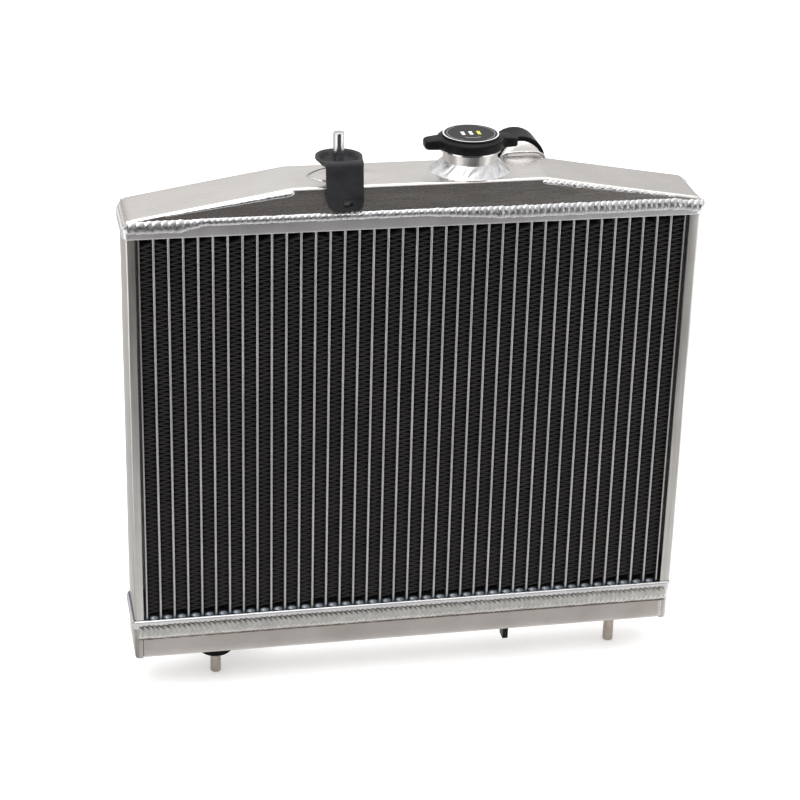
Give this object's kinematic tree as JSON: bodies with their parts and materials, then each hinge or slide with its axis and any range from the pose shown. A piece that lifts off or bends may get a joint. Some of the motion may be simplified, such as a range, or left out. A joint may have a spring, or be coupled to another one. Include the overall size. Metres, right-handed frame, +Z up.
{
  "type": "car radiator",
  "caption": "All-metal down-flow car radiator: tube and fin core between two welded tanks, with pressure cap, hose pipes, drain cock, top bracket and lower pins.",
  "frame": {"origin": "centre of the bottom tank's underside, midway between front and back", "axes": "+Z up, +X to the right seen from the front, the front faces -Y"},
  "size_m": [0.402, 0.0824, 0.4154],
  "materials": {
    "aluminium": "satin sheet",
    "weld": "bright rippled weld",
    "tube": "matt drawn",
    "fin": "black coated",
    "bright_steel": "plated",
    "brass": "machined",
    "black_plastic": "satin moulded",
    "label": "printed disc",
    "rubber": "matt",
    "black_paint": "satin black"
  },
  "bodies": {
    "radiator": {"tube_bank": "tube", "core_plate_left": "tube", "core_plate_right": "tube", "upper_header": "aluminium", "lower_header": "aluminium", "side_channel_left": "aluminium", "side_channel_right": "aluminium", "top_tank": "aluminium", "bottom_tank": "aluminium", "bottom_tank_end_left": "aluminium", "bottom_tank_end_right": "aluminium", "upper_header_weld": "weld", "lower_header_weld": "weld", "filler_neck": "aluminium", "neck_weld": "weld", "overflow_pipe": "aluminium", "upper_hose_pipe": "aluminium", "lower_hose_pipe": "aluminium", "upper_pipe_weld": "weld", "lower_pipe_weld": "weld", "mount_pad": "aluminium", "lower_pin_left": "aluminium", "lower_pin_right": "aluminium", "drain_boss": "aluminium", "fin_pack": "fin", "mount_stud": "bright_steel", "mount_bush": "rubber", "grommet_left": "rubber", "mount_bracket": "black_paint", "stud_collar": "black_paint"},
    "cap": {"cap_shell": "black_plastic", "cap_label": "label", "cap_lock_plate": "bright_steel", "cap_upper_seal": "rubber", "cap_spring": "bright_steel"},
    "pressure_valve": {"cap_valve_plate": "bright_steel", "cap_valve_seal": "rubber"},
    "vacuum_valve": {"cap_vacuum_valve": "brass"},
    "drain": {"drain_cock": "black_plastic", "drain_seal": "rubber"},
    "upper_plug": {"upper_pipe_plug": "black_plastic"},
    "lower_plug": {"lower_pipe_plug": "black_plastic"}
  },
  "joints": [
    {"name": "cap_turn", "type": "hinge", "parent": "radiator", "child": "cap", "pos_m": [0.0393, 0, 0.374], "axis": [0, 0, 1], "range_deg": [0, 90]},
    {"name": "pressure_valve_lift", "type": "slide", "parent": "cap", "child": "pressure_valve", "axis": [0, 0, 1], "range_m": [0, 0.003], "stiffness_N_per_m": 8000, "springref_m": -0.006, "deforming": ["cap_spring"]},
    {"name": "vacuum_valve_drop", "type": "slide", "parent": "pressure_valve", "child": "vacuum_valve", "axis": [0, 0, -1], "range_m": [0, 0.0015], "stiffness_N_per_m": 300, "springref_m": -0.003},
    {"name": "drain_turn", "type": "hinge", "parent": "radiator", "child": "drain", "pos_m": [0.08, 0, -0.012], "axis": [0, 0, -1], "range_deg": [0, 180]},
    {"name": "upper_plug_pull", "type": "slide", "parent": "radiator", "child": "upper_plug", "axis": [0, 1, 0], "range_m": [0, 0.03]},
    {"name": "lower_plug_pull", "type": "slide", "parent": "radiator", "child": "lower_plug", "axis": [0, 1, 0], "range_m": [0, 0.03]}
  ]
}
